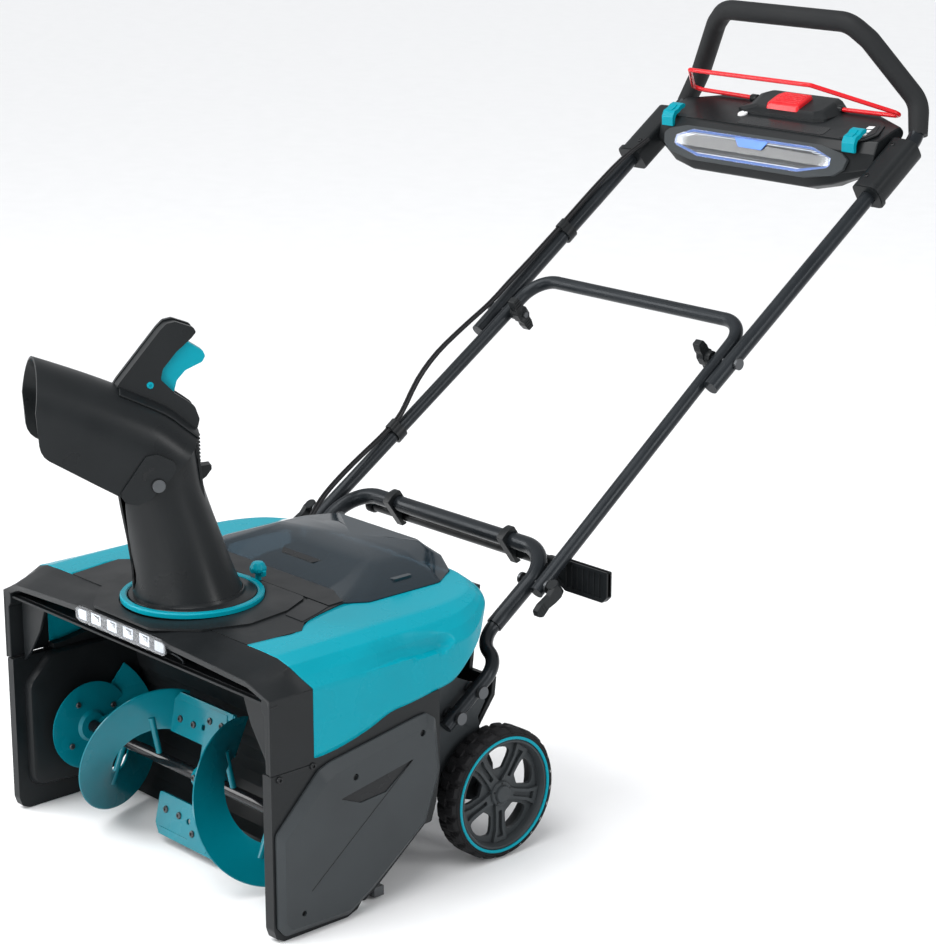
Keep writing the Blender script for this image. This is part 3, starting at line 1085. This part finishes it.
def panel_latch(m, tag):
    prof = fillet2([(-16, -12), (-13, 1), (-7, 8.5), (2, 9.5), (8, 12.5), (16, 13), (18.5, 10), (16, 6.5),
                    (9, 6), (3, 3.4), (-4, 2.2), (-8, -3), (-11, -13)],
                    [1, 4, 4, 4, 4, 3, 2, 2, 3, 3, 4, 4, 1], 4)
    o = slab("latch_hook_" + tag, [prof], lambda a, b, h: top(174 * m + h, a + 6, b), -11, 11,
             "panel_latch_" + tag,
             TEAL, "teal_plastic", bevel=0.9)
    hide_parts("panel_latch_" + tag)
    slab("latch_rib_" + tag, [fillet2([(-6, 9.6), (2, 10.8), (8, 13.8), (8, 12), (2, 8.8), (-6, 8)], 0.6, 3)],
         lambda a, b, h: top(174 * m + h, a + 6, b), -4, 4, "panel_latch_" + tag, TEAL, "teal_plastic",
         bevel=0.4)


mirrored(panel_latch)


def sleeve(m, tag):
    sec = fillet2([(205, -17), (249, -18), (250, 18), (207, 20)], [8, 15, 15, 9], 6)
    put = lambda a, b, h: hf(a * m, h, b)
    slab("end_sleeve_" + tag, [sec], put, 446, 548, "upper_handle", BLACK, "black_plastic", bevel=2.2)
    ring = fillet2([(209, -19.5), (251, -20), (252, 20), (209, 21.5)], [8, 15, 15, 9], 6)
    slab("end_collar_" + tag, [ring], put, 447, 453, "upper_handle", BLACK, "black_plastic", bevel=1.2)
    for s in (468, 534):
        screw("sleeve_screw_%s_%d" % (tag, s), hf(219 * m, s, 19.6), HF.to_3x3() @ Vector((0, 0, 1)), 3.8,
              "upper_handle", mat=BLACK_GLOSS, slot="black_plastic", height=1.4)


mirrored(sleeve)
# the grip loop, its foam and the bail
side = lambda m: [hf(m * 229, 63, 0), hf(m * 229, 530, 0), Vector((m * 224, 1216, 830)),
                  Vector((m * 210, 1232, 874)),
                  Vector((m * 146, 1196, 959)), Vector((m * 118, 1184, 982))]
loop = side(1) + side(-1)[::-1]
o = tube("handle_loop", fillet(loop, [30, 60, 40, 40, 40, 40, 40, 40, 60, 30], 8), 10.8, "upper_handle", TUBE,
         "tube_paint", n=28)
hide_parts("upper_frame")
pad = loop[2:-2]
pad_path = fillet([pad[0]] + pad[1:-1] + [pad[-1]], [42, 42, 42, 42, 42, 42], 12)
o = tube("foam_sleeve", pad_path, [13.6] + [14.8] * (len(pad_path) - 2) + [13.6], "upper_handle", FOAM,
         "foam", n=36)
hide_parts("foam_grip")
rod = [(-62, 1214, 852), (-194, 1214, 854), (-115, 1106, 900), (115, 1106, 900), (194, 1214, 854),
       (62, 1214, 852)]
rod = [(-62, 1214, 852), (-186, 1214, 854), (-196, 1208, 857), (-194, 1200, 861), (-115, 1107, 900),
       (-104, 1106, 900),
       (104, 1106, 900), (115, 1107, 900), (194, 1200, 861), (196, 1208, 857), (186, 1214, 854),
       (62, 1214, 852)]
o = tube("bail_rod", fillet(rod, 7, 5), 3.3, "bail", RED, "red_paint", n=16)
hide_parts("bail")
for m in (-1, 1):
    lathe("bail_cap_%d" % (m > 0), [(0.01, 75), (5.2, 75), (6, 76), (6, 86), (5, 88), (3.4, 88.5)],
          lambda a, b, h: Vector((h * m, 1214 + a, 852 + b)), "upper_handle", BLACK_GLOSS, "black_plastic",
          n=24,
          caps=False)


# ---------------------------------------------------------------- knobs, levers and the cleaning tool
def knob(m, tag):
    body = "wing_knob_" + tag
    put = lambda a, b, h: hf((176 + h) * m, 112 + a, b)
    wing = fillet2([(-5, -28), (5, -28), (7.5, -17), (7, -11), (10, -6), (10, 6), (7, 11), (7.5, 17), (5, 28),
                    (-5, 28), (-7.5, 17), (-7, 11), (-10, 6), (-10, -6), (-7, -11), (-7.5, -17)], 2.4, 4)
    o = slab("wing_" + tag, [wing], put, 0, 12, body, BLACK, "black_plastic", bevel=2.0)
    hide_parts("wing_knob_" + tag)
    lathe("wing_hub_" + tag, [(0.01, -3), (6, -3), (8, -1), (10, 0), (10, 18), (9, 20), (4.4, 20)], put,
          body, BLACK,
          "black_plastic", n=32, caps=False)
    for i in range(3):
        for s in (-1, 1):
            slab("wing_rib_%s_%d_%d" % (tag, i, s > 0),
                 [[(-5.6, s * (14 + i * 4)), (5.6, s * (14 + i * 4)), (5.6, s * (15.6 + i * 4)),
                   (-5.6, s * (15.6 + i * 4))]],
                 put, -0.8, 12.6, body, BLACK, "black_plastic", bevel=0.5)


mirrored(knob)


def lever(m, tag):
    body = "clamp_lever_" + tag
    put = lambda a, b, h: hf((245.4 + h) * m, -305 + a, b)
    arm = fillet2([(2, -7), (3, 0), (2, 7), (-4, 9.0), (-16, 6), (-34, 8), (-44, 6), (-46, -2), (-40, -8),
                   (-26, -6),
                   (-14, -9), (-2, -10)], 4, 5)
    o = slab("lever_arm_" + tag, [arm], put, 0, 8.6, body, BLACK, "black_plastic", bevel=1.8)
    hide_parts("clamp_lever_" + tag)
    lathe("lever_hub_" + tag, [(0.01, -9.4), (7.6, -9.4), (8.5, -8.4), (8.5, 8.4), (7.6, 9.4), (0.01, 9.4)],
          lambda a, b, h: hf((245.4 + a) * m, -305 + b, h), body, BLACK, "black_plastic", n=32, caps=False,
          sharp=35)
    for i in range(4):
        s = -30 - i * 4
        slab("lever_rib_%s_%d" % (tag, i), [[(s, -6), (s + 1.6, -6), (s + 1.6, 6), (s, 6)]], put, 8.2, 9.4,
             body, BLACK,
             "black_plastic", bevel=0.4)


mirrored(lever)
TY, TZ = 544.9, 334.1
tool = lambda a, b, h: Vector((h, TY + a, TZ + b))
o = lathe("tool_shaft", [(0.01, -168), (8.2, -168), (8.2, 176), (9.6, 180), (9.6, 190), (0.01, 190)], tool,
          "cleaning_tool",
          BLACK, "black_plastic", n=32, caps=False, sharp=35)
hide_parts("cleaning_tool")
lathe("tool_knob", [(0.01, -184), (9, -184), (11, -182), (11, -172), (9, -169), (0.01, -169)], tool,
      "cleaning_tool", BLACK,
      "black_plastic", n=32, caps=False, sharp=35)
flat = plane("y")
BLADE = [(186, -9), (194, 5), (207, 12), (290, 12), (290, -22), (282, -30), (214, -30), (200, -22),
         (186, -14)]
slab("tool_blade", [fillet2(BLADE, [3, 6, 6, 2, 4, 4, 8, 8, 3], 4)], lambda a, b,
     h: Vector((a, TY + h, TZ + b)), -3.5, 0.5,
     "cleaning_tool", BLACK, "black_plastic", bevel=0.9)
slab("tool_blade_rim", [fillet2(BLADE, [3, 6, 6, 2, 4, 4, 8, 8, 3], 4),
                        fillet2([(196, -8), (202, 2), (211, 8), (284, 8), (284, -20), (279, -25),
                                 (216, -25), (204, -18)],
                                3, 4)], lambda a, b, h: Vector((a, TY + h, TZ + b)), -6, 3, "cleaning_tool",
                                BLACK,
     "black_plastic", bevel=1.0)
for i in range(7):
    x = 214 + i * 10
    slab("tool_rib_%d" % i, [[(x, 8.5), (x + 1.6, 8.5), (x + 1.6, -25.5), (x, -25.5)]],
         lambda a, b, h: Vector((a, TY + h, TZ + b)), -4.9, 2, "cleaning_tool", BLACK, "black_plastic",
         bevel=0.4)

# ---------------------------------------------------------------- battery lid and batteries
LID = [(-95, 240), (95, 240), (148, 216), (168, 246), (168, 362), (137, 408), (-137, 408), (-168, 362),
       (-168, 246), (-148, 216)]
LID_MID = [(-100, 262), (100, 262), (132, 250), (150, 266), (148, 362), (118, 412), (-118, 412), (-148, 362),
           (-150, 266), (-132, 250)]
LID_TOP = [(-84, 306), (84, 306), (98, 312), (104, 322), (104, 360), (84, 404), (-84, 404), (-104, 360),
           (-104, 322),
           (-98, 312)]
rr = [14, 14, 12, 14, 18, 16, 16, 18, 14, 12]
a, b, c = (fillet2(q, rr, 5, even=True) for q in (LID, LID_MID, LID_TOP))
mix = lambda p, q, t: [(u[0] + (v[0] - u[0]) * t, u[1] + (v[1] - u[1]) * t) for u, v in zip(p, q)]
rings = [[(p[0], p[1], 341.4) for p in a], [(p[0], p[1], 344.2) for p in a],
         [(p[0], p[1], 345.6) for p in mix(a, b, 0.12)],
         [(p[0], p[1], 354 + (p[1] - 250) * 0.02) for p in b], [(p[0], p[1], 366.5) for p in mix(b, c, 0.72)],
         [(p[0], p[1], 371.2) for p in c], [(p[0] * 0.05, 355 + (p[1] - 355) * 0.05, 371.4) for p in c]]
rings.append([(0, 355, 371.4) for p in c])
o = loft("lid_shell", rings, "battery_lid", SMOKE, "smoky_lens", caps=False, solid=2.2, out=(0, 330, 300),
         sharp=40)
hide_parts("battery_lid")
plate = lambda a, b, h: Vector((a, 262 + b * 0.97 - h * 0.24, 354.6 + b * 0.245 + h * 0.97))
slab("lid_blank_plate", [fillet2([(-34, 6), (30, 6), (40, 20), (30, 34), (-34, 34), (-44, 20)], 2, 3)],
     plate, 0.2, 1.6,
     "battery_lid", BLACK_GLOSS, "black_plastic", bevel=0.4)
slab("lid_latch", [fillet2([(136, 300), (152, 300), (152, 330), (136, 330)], 3, 4)], plane("z"), 352, 357,
     "battery_lid",
     SMOKE, "smoky_lens", bevel=1.2)
for m, tag in ((1, "right"), (-1, "left")):
    body = "battery_" + tag
    x = 58 * m
    block = fillet2([(x - 37, 246), (x + 37, 246), (x + 37, 372), (x - 37, 372)], 7, 5)
    inset = [(x + (p[0] - x) * 0.93, 309 + (p[1] - 309) * 0.96) for p in block]
    o = loft("pack_case_" + tag, [[(p[0], p[1], 212.3) for p in inset], [(p[0], p[1], 216) for p in block],
                                  [(p[0], p[1], 304) for p in block], [(p[0], p[1], 311.8) for p in inset]],
             body, BLACK, "black_plastic", bevel=1.0)
    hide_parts(body)
    slab("pack_top_" + tag, [fillet2([(x - 29, 272), (x + 29, 272), (x + 29, 362), (x - 29, 362)], 4, 4)],
         plane("z"),
         311, 325, body, GREY, "grey_plastic", bevel=1.6)
    slab("pack_button_" + tag, [fillet2([(x - 14, 250), (x + 14, 250), (x + 14, 266), (x - 14, 266)], 3,
                                        4)], plane("z"),
         311, 316, body, RED, "red_plastic", bevel=1.2)


# ---------------------------------------------------------------- floor and end
floor_size = 14.0
fm = bpy.data.meshes.new("floor")
fb = bmesh.new()
bmesh.ops.create_grid(fb, x_segments=8, y_segments=8, size=floor_size)
fb.to_mesh(fm)
fb.free()
floor = bpy.data.objects.new("floor", fm)
scene.collection.objects.link(floor)
floor.location.z = -0.0005
fm.materials.append(PALE)
